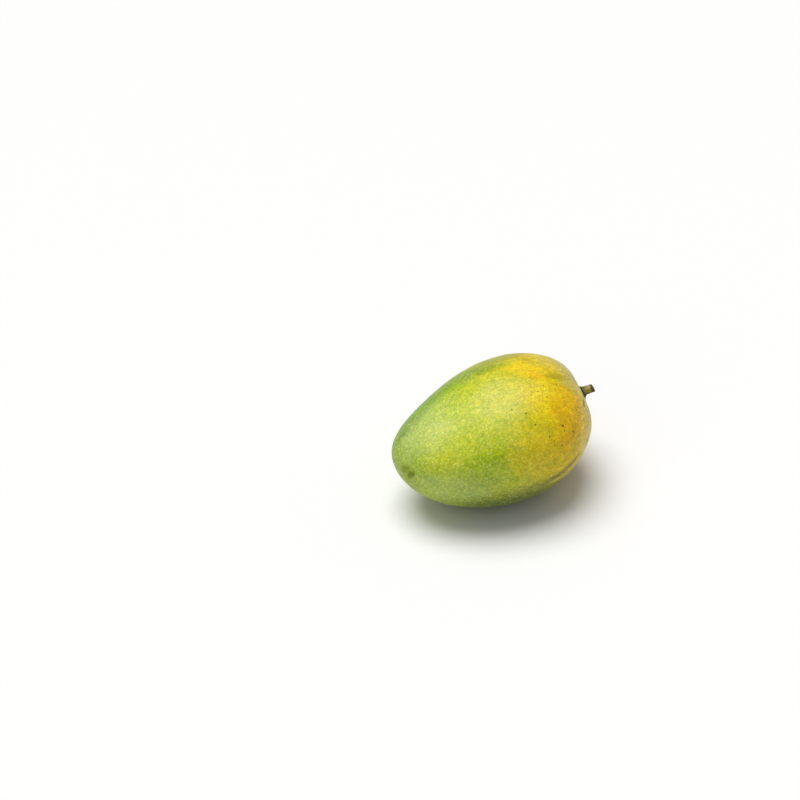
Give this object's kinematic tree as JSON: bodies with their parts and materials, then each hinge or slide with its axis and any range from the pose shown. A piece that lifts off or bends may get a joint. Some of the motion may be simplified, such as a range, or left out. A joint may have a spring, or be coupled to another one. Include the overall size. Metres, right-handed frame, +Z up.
{
  "type": "mango",
  "caption": "Whole mango with the cut stub of its stem, lying on its cheek: an oblique egg shape, full at the stem end, with a soft beak and sinus on its straighter side.",
  "frame": {"origin": "on the surface that the fruit lies on, under the middle of the box round the fruit and its stem", "axes": "+X towards the stem end, over which the fruit's long axis lies, rising a few degrees; +Z up, out of the upper cheek; +Y towards the belly, the straighter side with the sinus and the beak"},
  "size_m": [0.1166, 0.0902, 0.0707],
  "materials": {
    "skin": "satin",
    "stem": "matte"
  },
  "bodies": {
    "root": {"fruit": "skin", "stem": "stem"}
  },
  "joints": []
}
